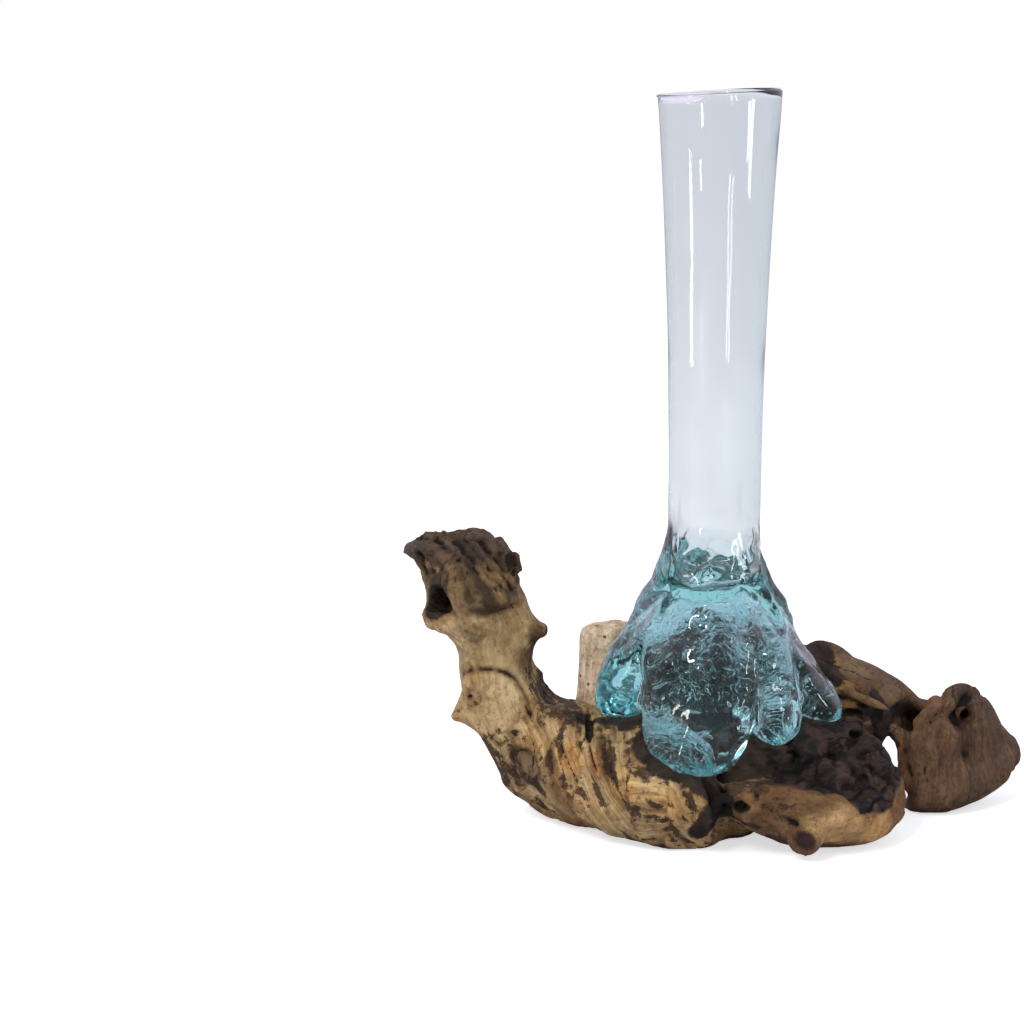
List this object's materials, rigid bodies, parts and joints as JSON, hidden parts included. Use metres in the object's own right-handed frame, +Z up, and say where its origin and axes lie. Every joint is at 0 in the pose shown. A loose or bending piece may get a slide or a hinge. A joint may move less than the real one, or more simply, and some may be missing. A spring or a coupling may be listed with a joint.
{
  "type": "glass vase on wooden stand",
  "caption": "Hand-blown glass vase with a tall neck and a lobed skirt that was slumped over a piece of root wood, which carries it; the vase lifts straight off.",
  "frame": {"origin": "middle of the whole outline, on the surface that the wood stands on", "axes": "+Z up along the neck of the vase; -Y is the front seen in the picture; +X to the right, towards the curled root"},
  "size_m": [0.2802, 0.1092, 0.3194],
  "materials": {
    "glass": "clear hand-blown glass, aqua where it is thick",
    "wood": "bare dry root wood, brushed, scorched under the glass"
  },
  "bodies": {
    "stand": {"root_stand": "wood"},
    "vase": {"glass_vase": "glass"}
  },
  "joints": [
    {"name": "vase_lift", "type": "slide", "parent": "stand", "child": "vase", "axis": [0, 0, 1], "range_m": [0, 0.13]}
  ]
}
